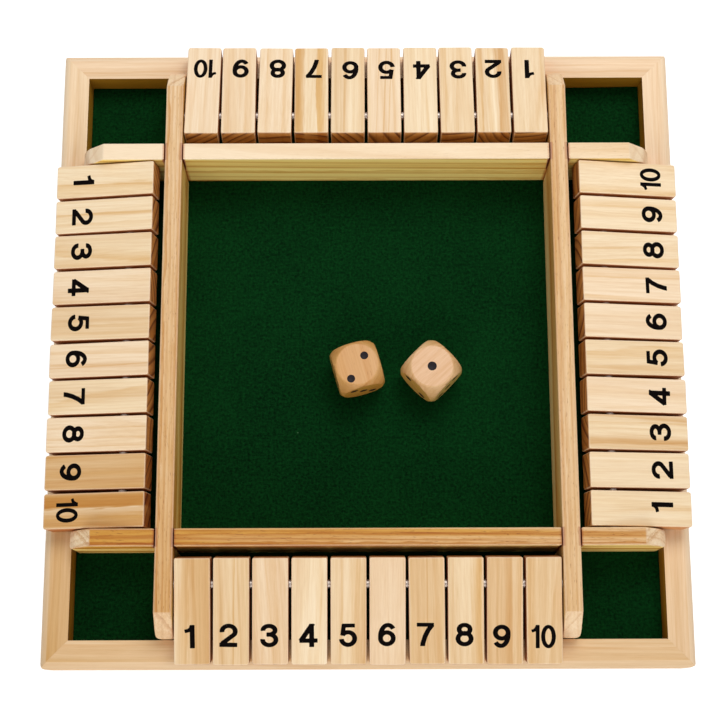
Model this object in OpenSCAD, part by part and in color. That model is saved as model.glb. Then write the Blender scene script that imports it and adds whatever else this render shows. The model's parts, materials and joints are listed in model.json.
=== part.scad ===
// Four-sided shut the box game: a square tray in a low frame, four dividers,
// four steel rods, forty number tiles that flip over the rods, and two dice.
// Millimetres. Origin at the centre of the frame's underside, +Z up, -Y the front.

/* [Frame] */
// Outside width of the square frame
frame_w = 220; // [205:1:240]
// Width of each frame rail
rail_w = 9.5; // [8:0.5:12]
// Height of the frame rails
rail_h = 15; // [12:0.5:18]
// Radius of the rails' outer top edge
rail_round = 3.5; // [1:0.5:6]
// Radius of the frame's upright corners
corner_round = 2; // [0.5:0.5:4]

/* [Base] */
// Height of the base panel's underside above the table
panel_lift = 2; // [1:0.5:4]
// Thickness of the base panel
panel_t = 3; // [2:0.5:5]
// Depth of the groove in the rails that holds the panel
groove_depth = 4; // [2:0.5:5]
// Thickness of the felt lining
felt_t = 1; // [0.5:0.1:2]

/* [Dividers] */
// Inside width of the square dice tray
tray_w = 129; // [115:1:140]
// Thickness of the divider boards
board_t = 6; // [5:0.5:8]
// Height of the divider boards above the felt
board_h = 22.5; // [20:0.5:27]
// Length of the slope near each end of a board
ramp_run = 5.8; // [3:0.1:8]
// Height that a board loses over that slope
ramp_drop = 5.3; // [3:0.1:7]
// Length of the steeper cut below the slope
tip_run = 2.2; // [1:0.1:3]
// Height that a board loses over the steeper cut
tip_drop = 3.5; // [2:0.1:5]
// Radius of the upright corners at a board's ends
end_round = 1.3; // [0.4:0.1:2]
// Width of the eased edge along the top of a board
board_ease = 0.5; // [0.2:0.1:1]

/* [Rods] */
// Diameter of the steel rods
rod_d = 3; // [2:0.1:4]
// Depth of the blind holes that seat the rods' ends
rod_seat = 4; // [2:0.5:4.5]
// Depth of the rods' axes below the top of the boards
rod_drop = 5.4; // [4:0.1:7]

/* [Tiles] */
// Number tiles in each of the four rows
tiles_per_side = 10; // [6:1:10]
// Thickness of a tile
tile_t = 8; // [6:0.5:9]
// Length of a tile from its bore to its inner end
tile_nose = 9; // [7:0.5:11]
// Space between a level tile's inner end and the divider
nose_gap = 3; // [1.5:0.5:5]
// Space between neighbouring tiles
tile_gap = 0.9; // [0.4:0.1:2]
// Setback of the tiles' outer ends from the frame's outside
tile_inset = 0.9; // [0:0.1:3]
// Width of the eased edges of a tile
tile_ease = 0.6; // [0.2:0.1:1]

/* [Dice] */
// Width of a die
die_w = 16; // [12:1:20]
// Wood taken off each corner by the rounding of a die
die_corner_cut = 3.2; // [1:0.1:3.5]
// Diameter of the pips
pip_d = 2.8; // [1.5:0.1:3]
// Diameter of the single pip
single_pip_d = 3.2; // [2:0.1:4]
// Depth of a pip
pip_depth = 0.35; // [0.2:0.05:0.6]
// Spacing of the pips on a face
pip_step = 3.3; // [3:0.1:3.8]
// First die, place across the tray
die_a_x = -3.4; // [-20:0.1:0]
// First die, place along the tray
die_a_y = -7.6; // [-40:0.1:40]
// First die, turn in degrees
die_a_turn = 16; // [0:1:90]
// Second die, place across the tray
die_b_x = 22.4; // [22:0.1:45]
// Second die, place along the tray
die_b_y = -8.3; // [-40:0.1:40]
// Second die, turn in degrees
die_b_turn = 45; // [0:1:90]

/* [Hidden] */
// Clearances
panel_fit = 0.15;  // base panel and felt in the frame, each edge
lap_fit = 0.2;     // crossed boards in each other's notches, each side
end_fit = 0.3;     // board's end to the frame
seat_fit = 0.02;   // rod in its blind hole, radial
bore_fit = 0.08;   // rod in a tile's bore, radial
rest_fit = 0.1;    // tile's underside to the rail that it rests on

// Levels and half widths that the pieces share
SIDES = ["front", "right", "back", "left"];
frame_half = frame_w / 2;
inner_half = frame_half - rail_w;
tray_half = tray_w / 2;
felt_top = panel_lift + panel_t + felt_t;
board_top = felt_top + board_h;
board_half = inner_half - end_fit;
lap_level = board_h / 2;
cut = 1;           // how far a cutting solid runs past what it cuts

// Rods
rod_r = rod_d / 2;
rod_pos = tray_half + board_t + nose_gap + tile_nose;
rod_z = board_top - rod_drop;
rod_half = tray_half + rod_seat;

// Tiles: the underside rests on the rounded edge of the rail
pitch = tray_w / tiles_per_side;
tile_w = pitch - tile_gap;
round_centre = [frame_half - rail_round - rod_pos, rod_z - (rail_h - rail_round)];
tile_tilt = atan2(round_centre[1], round_centre[0])
    - asin((tile_t / 2 + rail_round + rest_fit) / norm(round_centre));
tile_reach = (frame_half - tile_inset - rod_pos - tile_t / 2 * sin(tile_tilt)) / cos(tile_tilt);

// Dice
ball_r = die_w * sqrt(3) / 2 - die_corner_cut;
// Places of the pips on a face, by their number, in steps
PIPS = [
    [[0, 0]],
    [[-1, -1], [1, 1]],
    [[-1, -1], [0, 0], [1, 1]],
    [[-1, -1], [-1, 1], [1, -1], [1, 1]],
    [[-1, -1], [-1, 1], [0, 0], [1, -1], [1, 1]],
    [[-1, -1], [-1, 0], [-1, 1], [1, -1], [1, 0], [1, 1]]
];

// Colours of the sides' pieces
RAIL_TONE = ["#E3BF92", "#E8CBA2", "#EBD3AE", "#E9CDA5"];
BOARD_TONE = ["#B98A56", "#B5834F", "#E6C79B", "#B07C48"];
TILE_TONE = ["#F0D3A4", "#E9C796", "#F3DDB6", "#EBC78F", "#EFD2A6"];

function node_name(kind, side) = str(kind, "_", SIDES[side]);
function tile_name(side, number) = str("tile_", SIDES[side], "_", number);
$fn = 48;

// Turns a piece that is drawn for the front to one of the four sides
module on_side(side) rotate([0, 0, 90 * side]) children();

// A box with all of its edges eased by a flat of the given width
module eased_box(low, high, ease) {
    intersection_for (turn = [0:2]) {
        a = turn;
        b = (turn + 1) % 3;
        c = (turn + 2) % 3;
        // the outline in the a-b plane, extruded along c
        multmatrix([for (row = [0:2]) [row == a ? 1 : 0, row == b ? 1 : 0, row == c ? 1 : 0, 0]])
            translate([0, 0, low[c]])
            linear_extrude(high[c] - low[c])
            polygon([
                [low[a] + ease, low[b]], [high[a] - ease, low[b]],
                [high[a], low[b] + ease], [high[a], high[b] - ease],
                [high[a] - ease, high[b]], [low[a] + ease, high[b]],
                [low[a], high[b] - ease], [low[a], low[b] + ease]
            ]);
    }
}

// Cross-section of a rail, x from its inner face outwards, y up
module rail_section() {
    difference() {
        union() {
            square([rail_w - rail_round, rail_h]);
            square([rail_w, rail_h - rail_round]);
            translate([rail_w - rail_round, rail_h - rail_round]) circle(rail_round);
        }
        translate([-cut, panel_lift]) square([groove_depth + cut, panel_t]);
    }
}

// Outline of the frame from above, with its corners rounded
module frame_plan() {
    square([frame_w, frame_w - 2 * corner_round], center = true);
    square([frame_w - 2 * corner_round, frame_w], center = true);
    for (x = [-1, 1], y = [-1, 1])
        translate([x, y] * (frame_half - corner_round)) circle(corner_round);
}

// A mitred rail
module frame_rail(side) {
    color(RAIL_TONE[side]) on_side(side)
        intersection() {
            translate([frame_half, -inner_half, 0]) rotate([90, 0, -90])
                linear_extrude(frame_w) rail_section();
            linear_extrude(rail_h + cut) frame_plan();
            linear_extrude(rail_h + cut) polygon([
                [-inner_half, -inner_half], [-frame_half, -frame_half],
                [frame_half, -frame_half], [inner_half, -inner_half]
            ]);
        }
}

module square_sheet(half, level, thickness) {
    translate([-half, -half, level]) cube([2 * half, 2 * half, thickness]);
}

module base_panel() {
    color("#D9B98C") square_sheet(inner_half + groove_depth - panel_fit, panel_lift, panel_t);
}

module felt_lining() {
    color("#0B3D1F") square_sheet(inner_half - panel_fit, panel_lift + panel_t, felt_t);
}

// Outline of a divider board seen from its side, cut down in two slopes at both ends
module board_outline() {
    right_end = [
        [board_half, 0],
        [board_half, board_h - ramp_drop - tip_drop],
        [board_half - tip_run, board_h - ramp_drop],
        [board_half - tip_run - ramp_run, board_h]
    ];
    left_end = [for (i = [len(right_end) - 1:-1:0]) [-right_end[i][0], right_end[i][1]]];
    polygon(concat(right_end, left_end));
}

// Plan of a board, with its upright end corners rounded
module board_plan() {
    square([2 * (board_half - end_round), board_t], center = true);
    square([2 * board_half, board_t - 2 * end_round], center = true);
    for (x = [-1, 1], y = [-1, 1])
        translate([x * (board_half - end_round), y * (board_t / 2 - end_round)]) circle(end_round);
}

// A divider along X, centred on Y; the front and back ones are notched from above
module divider(side) {
    notched_above = side % 2 == 0;
    crossing = tray_half + board_t / 2;
    notch_half = board_t / 2 + lap_fit;
    color(BOARD_TONE[side]) on_side(side)
        translate([0, -crossing, felt_top])
        difference() {
            intersection() {
                translate([0, board_t / 2, 0]) rotate([90, 0, 0])
                    linear_extrude(board_t) board_outline();
                linear_extrude(board_h) board_plan();
                translate([-board_half, 0, 0]) rotate([90, 0, 90])
                    linear_extrude(2 * board_half) polygon([
                        [-board_t / 2, 0], [board_t / 2, 0],
                        [board_t / 2, board_h - board_ease], [board_t / 2 - board_ease, board_h],
                        [board_ease - board_t / 2, board_h], [-board_t / 2, board_h - board_ease]
                    ]);
            }
            for (x = [-1, 1]) {
                translate([x * crossing - notch_half, -board_t / 2 - cut, notched_above ? lap_level : -cut])
                    cube([2 * notch_half, board_t + 2 * cut,
                        notched_above ? board_h - lap_level + cut : lap_level + cut]);
                // blind hole in the inner face, for the rod of the side that crosses here
                translate([x * rod_pos, board_t / 2 + cut, board_h - rod_drop]) rotate([90, 0, 0])
                    cylinder(h = rod_seat + cut, r = rod_r + seat_fit);
            }
        }
}

module rod(side) {
    color("#C9CCD0") on_side(side)
        translate([-rod_half, -rod_pos, rod_z]) rotate([0, 90, 0])
        cylinder(h = 2 * rod_half, r = rod_r);
}

// A number tile, tipped out about its rod until it rests on the rail
module tile(side, number) {
    tone = TILE_TONE[(3 * number + 2 * side) % len(TILE_TONE)];
    color(tone) on_side(side)
        translate([(number - (tiles_per_side + 1) / 2) * pitch, -rod_pos, rod_z])
        rotate([tile_tilt, 0, 0])
        difference() {
            eased_box([-tile_w / 2, -tile_reach, -tile_t / 2], [tile_w / 2, tile_nose, tile_t / 2], tile_ease);
            translate([-tile_w / 2 - cut, 0, 0]) rotate([0, 90, 0])
                cylinder(h = tile_w + 2 * cut, r = rod_r + bore_fit);
        }
}

// Dimples for a number of pips on the face that looks along +Z
module pips(number) {
    pip_r = (number == 1 ? single_pip_d : pip_d) / 2;
    dimple_r = (pip_r * pip_r + pip_depth * pip_depth) / (2 * pip_depth);
    for (place = PIPS[number - 1])
        translate([place[0] * pip_step, place[1] * pip_step, die_w / 2 + dimple_r - pip_depth])
            sphere(dimple_r);
}

// A die that shows the given numbers on its top, front and right faces,
// with the front face's pips turned by that many quarter turns
module die(x, y, turn, top, front, right, front_quarters = 0) {
    color("#E2B988")
        translate([x, y, felt_top + die_w / 2]) rotate([0, 0, turn])
        difference() {
            intersection() {
                cube(die_w, center = true);
                sphere(ball_r);
            }
            pips(top);
            rotate([180, 0, 0]) pips(7 - top);
            rotate([90, 0, 0]) rotate([0, 0, 90 * front_quarters]) pips(front);
            rotate([-90, 0, 0]) pips(7 - front);
            rotate([0, 90, 0]) pips(right);
            rotate([0, -90, 0]) pips(7 - right);
        }
}
module die_a() die(die_a_x, die_a_y, die_a_turn, 2, 3, 1, front_quarters = 1);
module die_b() die(die_b_x, die_b_y, die_b_turn, 1, 3, 5);

for (side = [0:3]) {
    frame_rail(side);
    divider(side);
    rod(side);
    for (number = [1:tiles_per_side])
        tile(side, number);
}
base_panel();
felt_lining();
die_a();
die_b();
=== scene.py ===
import json
import math
import random

import bmesh
import bpy
from mathutils import Matrix, Vector, noise


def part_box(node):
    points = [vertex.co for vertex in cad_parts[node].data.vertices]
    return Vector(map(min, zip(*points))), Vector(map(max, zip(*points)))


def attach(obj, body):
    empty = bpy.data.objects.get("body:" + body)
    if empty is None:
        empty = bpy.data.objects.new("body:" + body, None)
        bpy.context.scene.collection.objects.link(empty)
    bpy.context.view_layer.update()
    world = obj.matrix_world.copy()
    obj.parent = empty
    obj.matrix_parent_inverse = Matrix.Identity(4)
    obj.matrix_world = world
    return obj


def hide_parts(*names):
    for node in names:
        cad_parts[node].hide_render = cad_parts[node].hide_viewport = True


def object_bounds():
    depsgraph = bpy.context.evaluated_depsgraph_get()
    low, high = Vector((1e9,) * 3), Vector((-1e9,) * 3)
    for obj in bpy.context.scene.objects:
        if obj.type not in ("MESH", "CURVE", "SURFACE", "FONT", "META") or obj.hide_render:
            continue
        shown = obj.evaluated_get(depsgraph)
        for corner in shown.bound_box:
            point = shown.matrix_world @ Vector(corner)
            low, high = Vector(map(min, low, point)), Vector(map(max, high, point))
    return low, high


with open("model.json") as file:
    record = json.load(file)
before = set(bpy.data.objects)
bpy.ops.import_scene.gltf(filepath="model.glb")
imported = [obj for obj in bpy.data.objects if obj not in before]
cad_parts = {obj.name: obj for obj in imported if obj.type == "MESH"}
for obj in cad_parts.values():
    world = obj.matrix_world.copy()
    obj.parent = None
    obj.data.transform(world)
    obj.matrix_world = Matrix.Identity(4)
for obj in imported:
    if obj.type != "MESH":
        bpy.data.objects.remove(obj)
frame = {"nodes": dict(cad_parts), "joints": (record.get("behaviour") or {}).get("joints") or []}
cadLow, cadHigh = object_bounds()
joints = {joint["name"]: joint for joint in frame["joints"]}
sides = ["front", "right", "back", "left"]
mm = 0.001
past = 10 * mm       # how far a cutting tool reaches past the wood
onPlane = 1e-7       # points this near a cutting plane lie on it
samePoint = 1e-6     # points this near to each other are merged

# place in millimetres, turns in degrees
camera = {
    "place": (-3.19, -119.82, 529.77), "tilt": 12.62, "sway": -0.086, "roll": -0.16,
    "lens": 75.66, "sensor": 36, "nearest": 0.01,
}


def turnBy(degrees, axis, size=4):
    return Matrix.Rotation(math.radians(degrees), size, axis)


def addCamera(c):
    bpy.ops.object.camera_add(location=Vector(c["place"]) * mm)
    eye = bpy.context.object
    turn = turnBy(c["tilt"], "X", 3) @ turnBy(c["sway"], "Y", 3) @ turnBy(c["roll"], "Z", 3)
    eye.rotation_euler = turn.to_euler()
    eye.data.lens = c["lens"]
    eye.data.sensor_width = c["sensor"]
    eye.data.clip_start = c["nearest"]
    bpy.context.scene.camera = eye


addCamera(camera)
bpy.context.scene.view_settings.view_transform = "Standard"


def useOnly(piece):
    bpy.ops.object.select_all(action="DESELECT")
    piece.select_set(True)
    bpy.context.view_layer.objects.active = piece


def settle(piece):
    # moves the object's place into its mesh
    useOnly(piece)
    bpy.ops.object.transform_apply(location=True, rotation=True, scale=True)


def takeNew(name, scale=(1, 1, 1)):
    # names the object just added and moves its place into its mesh
    made = bpy.context.object
    made.name = name
    made.scale = scale
    settle(made)
    return made


def addBlock(name, low, high):
    low, high = Vector(low), Vector(high)
    bpy.ops.mesh.primitive_cube_add(size=1, location=(low + high) / 2)
    return takeNew(name, high - low)


def addRound(name, start, length, radius, axis, segments=48):
    # a cylinder that starts at a point and runs along X or Y
    step = Vector((length, 0, 0)) if axis == "X" else Vector((0, length, 0))
    turn = (0, math.pi / 2, 0) if axis == "X" else (math.pi / 2, 0, 0)
    bpy.ops.mesh.primitive_cylinder_add(vertices=segments, radius=radius, depth=abs(length),
                                        location=Vector(start) + step / 2, rotation=turn)
    return takeNew(name)


def addBall(name, place, radius, segments):
    # segments round the ball and from pole to pole
    bpy.ops.mesh.primitive_uv_sphere_add(segments=segments[0], ring_count=segments[1], radius=radius,
                                         location=place)
    return takeNew(name)


def startEdit(piece):
    useOnly(piece)
    bpy.ops.object.mode_set(mode="EDIT")
    bpy.ops.mesh.select_mode(type="EDGE")
    bpy.ops.mesh.select_all(action="DESELECT")
    return bmesh.from_edit_mesh(piece.data)


def bevelEdges(piece, wanted, width, segments, fold=0):
    # rounds the edges whose middle and direction the test accepts, if they fold by that many degrees
    shape = startEdit(piece)
    for edge in shape.edges:
        a, b = edge.verts[0].co, edge.verts[1].co
        sharp = edge.calc_face_angle(math.pi) >= math.radians(fold)
        edge.select_set(sharp and wanted((a + b) / 2, (b - a).normalized()))
    bmesh.update_edit_mesh(piece.data)
    bpy.ops.mesh.bevel(offset=width, segments=segments, profile=0.5)
    bpy.ops.object.mode_set(mode="OBJECT")


def sliceOff(piece, point, normal):
    # cuts away what lies beyond a plane, and closes the cut
    startEdit(piece)
    bpy.ops.mesh.select_all(action="SELECT")
    bpy.ops.mesh.bisect(plane_co=point, plane_no=Vector(normal).normalized(), use_fill=True,
                        clear_outer=True, threshold=onPlane)
    bpy.ops.object.mode_set(mode="OBJECT")


def applyModifier(piece, kind, **settings):
    useOnly(piece)
    change = piece.modifiers.new(kind.lower(), kind)
    for key, value in settings.items():
        setattr(change, key, value)
    bpy.ops.object.modifier_apply(modifier=change.name)


def cutWith(piece, tool, operation="DIFFERENCE", keepTool=False):
    applyModifier(piece, "BOOLEAN", object=tool, operation=operation, solver="EXACT")
    if not keepTool:
        bpy.data.objects.remove(tool)


def faceOutwards(piece):
    startEdit(piece)
    bpy.ops.mesh.select_all(action="SELECT")
    bpy.ops.mesh.remove_doubles(threshold=samePoint)
    bpy.ops.mesh.normals_make_consistent(inside=False)
    if bmesh.from_edit_mesh(piece.data).calc_volume(signed=True) < 0:
        bpy.ops.mesh.flip_normals()
    bpy.ops.object.mode_set(mode="OBJECT")


def smoothOff(piece, easeWidth, angle=30, segments=2, sharpFrom=35):
    # softens what is still sharp, then shades flats flat and rounds round
    if easeWidth:
        applyModifier(piece, "BEVEL", width=easeWidth, segments=segments, limit_method="ANGLE",
                      angle_limit=math.radians(sharpFrom), use_clamp_overlap=True)
    faceOutwards(piece)
    useOnly(piece)
    bpy.ops.object.shade_smooth_by_angle(angle=math.radians(angle))
    applyModifier(piece, "WEIGHTED_NORMAL", keep_sharp=True)


def copyOf(piece, name):
    twin = piece.copy()
    twin.data = piece.data.copy()
    twin.name = name
    bpy.context.scene.collection.objects.link(twin)
    return twin


def sideTurn(side):
    # a piece is drawn for the front and turned to its side
    return turnBy(90 * sides.index(side), "Z")


def dress(piece, material, body, node=None):
    piece.data.materials.clear()
    piece.data.materials.append(material)
    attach(piece, body)
    if node:
        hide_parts(node)


def tint(rgb):
    # a colour as it looks on screen, made linear
    shares = [c / 255 for c in rgb]
    return [((s + 0.055) / 1.055) ** 2.4 if s > 0.04 else s / 12.92 for s in shares] + [1]


def newMaterial(name):
    material = bpy.data.materials.new(name)
    material.use_nodes = True
    tree = material.node_tree
    return material, tree, tree.nodes["Principled BSDF"]


def feed(tree, socket, value):
    if isinstance(value, bpy.types.NodeSocket):
        tree.links.new(value, socket)
    else:
        socket.default_value = value


def setUp(tree, node, values):
    # gives each named or numbered input its number, colour or link
    for name, value in values.items():
        feed(tree, node.inputs[name], value)


def addNode(tree, kind, values, **settings):
    made = tree.nodes.new(kind)
    for name, value in settings.items():
        setattr(made, name, value)
    setUp(tree, made, values)
    return made.outputs


def calc(tree, operation, *values, clamp=False):
    return addNode(tree, "ShaderNodeMath", dict(enumerate(values)), operation=operation, use_clamp=clamp)[0]


def times(tree, a, b, clamp=False):
    return calc(tree, "MULTIPLY", a, b, clamp=clamp)


def swing(tree, base, noisy, reach):
    # moves the base by up to half the reach either way
    return calc(tree, "MULTIPLY_ADD", calc(tree, "SUBTRACT", noisy, 0.5), reach, base)


def split(tree, value):
    return addNode(tree, "ShaderNodeSeparateXYZ", {0: value})


def ownPlace(tree):
    return addNode(tree, "ShaderNodeTexCoord", {})["Object"]


def readAttribute(tree, name):
    return addNode(tree, "ShaderNodeAttribute", {}, attribute_name=name)["Vector"]


def cloud(tree, place, scale=1.0, detail=2.0, roughness=0.5):
    values = {"Vector": place, "Scale": scale, "Detail": detail, "Roughness": roughness}
    return addNode(tree, "ShaderNodeTexNoise", values)


def streaks(tree, place, scales, detail=2.0, roughness=0.5):
    # a noise with its own scale along, across and, if there is a third, inwards
    values = {0: place, 1: (*scales, scales[-1])[:3]}
    squeezed = addNode(tree, "ShaderNodeVectorMath", values, operation="MULTIPLY")[0]
    return cloud(tree, squeezed, 1.0, detail, roughness)


def span(tree, value, low, high, toLow=0.0, toHigh=1.0):
    values = {"Value": value, "From Min": low, "From Max": high, "To Min": toLow, "To Max": toHigh}
    return addNode(tree, "ShaderNodeMapRange", values)[0]


def blendColor(tree, share, a, b, mode="MIX"):
    values = {0: share, 6: a, 7: b}
    return addNode(tree, "ShaderNodeMix", values, data_type="RGBA", blend_type=mode)[2]


def darken(tree, share, colour, factor):
    return blendColor(tree, share, colour, [*factor, 1], "MULTIPLY")


def addBump(tree, shader, height, distance, strength):
    values = {"Height": height, "Distance": distance, "Strength": strength}
    feed(tree, shader.inputs["Normal"], addNode(tree, "ShaderNodeBump", values)[0])


# pale, honey and rosy are the ends of the tone and rosiness that are set for each piece;
# late darkens the lines of late wood, end and endLate the sawn ends, paintedShade tints the faces that get
# painted shade
kinds = {
    "tilePine": {
        "pale": (253, 231, 196), "honey": (212, 161, 92), "rosy": (252, 222, 196),
        # end and endLate here are darker than plain sawn pine, partly as painted shade of the tiles' shaded
        # ends
        "late": (0.83, 0.65, 0.38), "end": (0.62, 0.35, 0.13), "endLate": (0.20, 0.07, 0.02),
        "paintedShade": (0.84, 0.54, 0.19), "waver": 2.4, "pace": 1.1, "bands": 0.3, "ragged": 0.25,
        "flecks": 0.3, "gloss": 0.5, "edgeHighlight": 0.25,
    },
    "framePine": {
        "pale": (252, 224, 188), "honey": (208, 162, 98), "rosy": (250, 215, 184),
        "late": (0.88, 0.74, 0.54), "end": (0.80, 0.66, 0.52), "endLate": (0.6, 0.42, 0.28),
        "paintedShade": (0.42, 0.29, 0.03), "waver": 2.6, "pace": 1, "bands": 0.22, "ragged": 0.25,
        "flecks": 0.4, "gloss": 0.52,
    },
    "dividerPine": {
        "pale": (253, 229, 195), "honey": (214, 158, 70), "rosy": (230, 190, 146),
        "late": (0.70, 0.46, 0.18), "end": (1, 0.96, 0.90), "endLate": (0.92, 0.84, 0.72),
        "paintedShade": (0.98, 0.97, 0.46), "waver": 1.4, "pace": 0.6, "bands": 0.24, "ragged": 0.6,
        "flecks": 1.3, "fleckFrom": 0.62, "gloss": 0.5, "faintest": 0.4, "wander": 1.3,
        "streak": (0.88, 0.77, 0.56), "streakRun": 0.08, "plain": 0.8,
        "crossingJointShade": 1, "crossingJointWide": 1.1, "crossingJointPast": 0.3,
    },
    "dieWood": {
        "pale": (240, 204, 166), "honey": (216, 162, 98), "rosy": (240, 198, 164),
        "late": (0.86, 0.70, 0.48), "end": (0.92, 0.80, 0.62), "endLate": (0.7, 0.5, 0.34),
        "paintedShade": (0.82, 0.9, 0.45), "waver": 1.6, "pace": 0.8, "bands": 0.12, "ragged": 0.4,
        "flecks": 1, "fleckFrom": 0.66, "gloss": 0.42, "edgeHighlight": 0,
    },
    "panelWood": {
        "pale": (232, 205, 165), "honey": (200, 158, 106), "rosy": (226, 190, 152),
        "late": (0.86, 0.74, 0.58), "end": (0.8, 0.68, 0.54), "endLate": (0.7, 0.55, 0.4),
        "paintedShade": (1, 1, 1), "waver": 9, "pace": 1, "bands": 0.25, "ragged": 0.2,
        "flecks": 0.5, "gloss": 0.6, "faintest": 0.3,
    },
}
# where a kind has nothing of its own
usual = {
    "faintest": 0.2, "wander": 0.7, "streak": (0.93, 0.87, 0.78), "streakRun": 0.03, "plain": 0,
    "fleckFrom": 0.7, "edgeHighlight": 0.2,
}
# what all woods share: noise scales along and across the fibres, per millimetre, then the
# parts of each noise that count, the late wood of a ring, and tints and surface
fibres = {
    "waver": (0.011, 0.045), "patch": (0.02, 0.12), "broad": (0.012, 0.16), "streakAcross": 1.3,
    "fibre": (0.16, 7), "fleck": (0.42, 3.6), "figureDrift": (0.05, 0.16), "figureEdge": (0.14, 1.6),
    "pacePlace": (0.43, 3.1, 7.7), "bandPlace": (0.62, 5.2, 1.9),
    "patchPart": (0.35, 0.65, 0.45, 1), "streakPart": (0.38, 0.66), "fibrePart": (0.4, 0.7, 0, 0.6),
    "bandPart": (0.4, 0.6), "figureRise": (-1.6, 0.6), "figureFall": (0.7, 1.15, 1, 0), "toneSwing": 0.6,
    "ringEnds": 0.2, "ring": ((0.05, 0.02), (0.5, 0.06), (0.72, 0.32), (0.88, 0.95), (0.95, 0.8)),
    "fibreTint": (0.90, 0.85, 0.78), "fleckTint": (0.42, 0.24, 0.13), "jointShadeTint": (0.5, 0.17, 0.03),
    "highlightTint": (255, 238, 212), "specular": 0.3, "coat": 0.05, "coatRough": 0.35,
    "bumpHeight": 0.00004, "bump": 0.6,
}


def ringNoise(tree, age, place):
    # a noise that changes from ring to ring
    spot = addNode(tree, "ShaderNodeCombineXYZ", {0: times(tree, age, place[0]), 1: place[1], 2: place[2]})
    return cloud(tree, spot[0], 1.0, 1.0)[0]


def addRings(tree, w, grain, ringGap):
    # growth rings round a wavering pith: how many rings out a point lies, its share of late
    # wood, and how strong its ring is
    across, deep = split(tree, grain)[1:3]
    waver = streaks(tree, grain, fibres["waver"])["Color"]
    waverX, waverY = split(tree, waver)[:2]
    across = swing(tree, across, waverX, w["waver"] * 2)
    deep = swing(tree, deep, waverY, w["waver"] * 2)
    reach = calc(tree, "ADD", times(tree, across, across), times(tree, deep, deep))
    age = calc(tree, "DIVIDE", calc(tree, "SQRT", reach), ringGap)
    age = calc(tree, "MULTIPLY_ADD", ringNoise(tree, age, fibres["pacePlace"]), w["pace"], age)
    profile = tree.nodes.new("ShaderNodeFloatCurve")
    curve = profile.mapping.curves[0]
    for x, y in fibres["ring"]:
        curve.points.new(x, y)
    curve.points[0].location = (0.0, fibres["ringEnds"])
    curve.points[-1].location = (1.0, fibres["ringEnds"])
    profile.mapping.update()
    feed(tree, profile.inputs["Value"], calc(tree, "FRACT", age))
    values = {"W": calc(tree, "FLOOR", age)}
    chance = addNode(tree, "ShaderNodeTexWhiteNoise", values, noise_dimensions="1D")["Value"]
    strong = span(tree, chance, 0, 1, w["faintest"], 1.0)
    return age, profile.outputs[0], strong


def addFigure(tree, grain, w):
    # up to three bands along a piece, each fading in slowly and ending sharply
    distances = split(tree, readAttribute(tree, "figures"))
    depths = split(tree, readAttribute(tree, "depths"))
    drifts = split(tree, streaks(tree, grain, fibres["figureDrift"])["Color"])
    ragged = streaks(tree, grain, fibres["figureEdge"])[0]
    ragged = times(tree, calc(tree, "SUBTRACT", ragged, 0.5), w["ragged"] * 4)
    total = 0.0
    for distance, depth, drift in zip(distances, depths, drifts):
        place = calc(tree, "ADD", swing(tree, distance, drift, w["wander"] * 2), ragged)
        rise = span(tree, place, *fibres["figureRise"])
        fall = span(tree, place, *fibres["figureFall"])
        total = calc(tree, "MULTIPLY_ADD", times(tree, rise, fall), depth, total)
    return calc(tree, "ADD", total, 0, clamp=True), times(tree, total, -1, clamp=True)


def addCrossingJointShade(tree, w, fibre):
    # where two boards cross, both are darkened along the sides of the left or right one, a dark joint line
    # that is partly painted shade
    low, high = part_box("divider_right")
    middle, half = (low.x + high.x) / 2, (high.x - low.x) / 2
    asides = []
    for place in split(tree, ownPlace(tree))[:2]:
        aside = calc(tree, "SUBTRACT", calc(tree, "ABSOLUTE", place), middle)
        asides.append(calc(tree, "SUBTRACT", calc(tree, "ABSOLUTE", aside), half))
    wide = w["crossingJointWide"] * mm
    rim = swing(tree, calc(tree, "ABSOLUTE", asides[0]), fibre, wide)
    rim = span(tree, rim, 0, wide, w["crossingJointShade"], 0)
    return times(tree, rim, span(tree, asides[1], 0, w["crossingJointPast"] * mm, 1, 0))


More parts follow.
